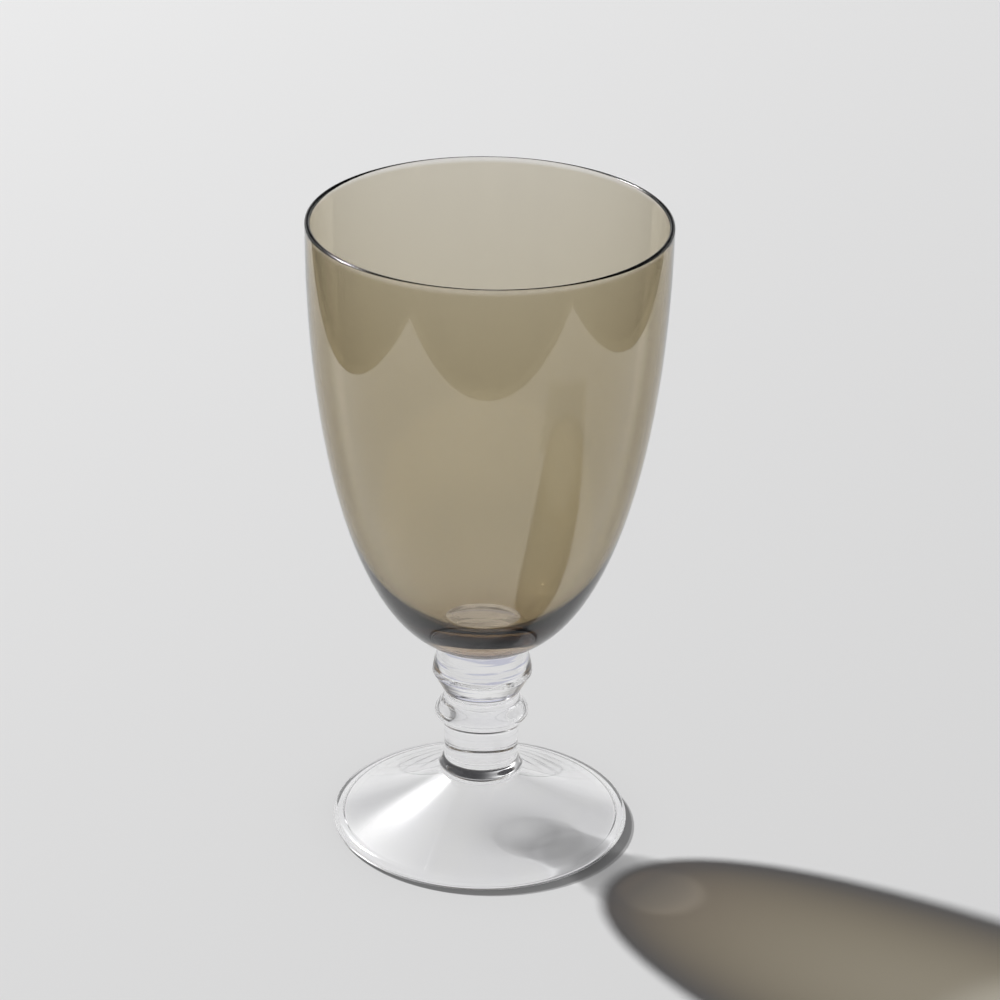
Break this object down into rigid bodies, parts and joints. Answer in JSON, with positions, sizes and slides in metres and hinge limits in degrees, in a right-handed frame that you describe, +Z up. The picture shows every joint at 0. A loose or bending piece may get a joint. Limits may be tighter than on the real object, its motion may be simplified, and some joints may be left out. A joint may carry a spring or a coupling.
{
  "type": "water goblet",
  "caption": "Stemmed water glass with a tall rounded smoke-tinted bowl on a clear collar, ringed stem and domed foot.",
  "frame": {"origin": "centre of the foot's underside, on the table", "axes": "+Z up along the axis of the glass, from the foot to the mouth"},
  "size_m": [0.0888, 0.0888, 0.164],
  "materials": {
    "smoke_glass": "polished, grey-brown smoke tint",
    "clear_glass": "polished, colourless"
  },
  "bodies": {
    "root": {"bowl": "smoke_glass", "collar": "clear_glass", "stem": "clear_glass", "foot": "clear_glass"}
  },
  "joints": []
}
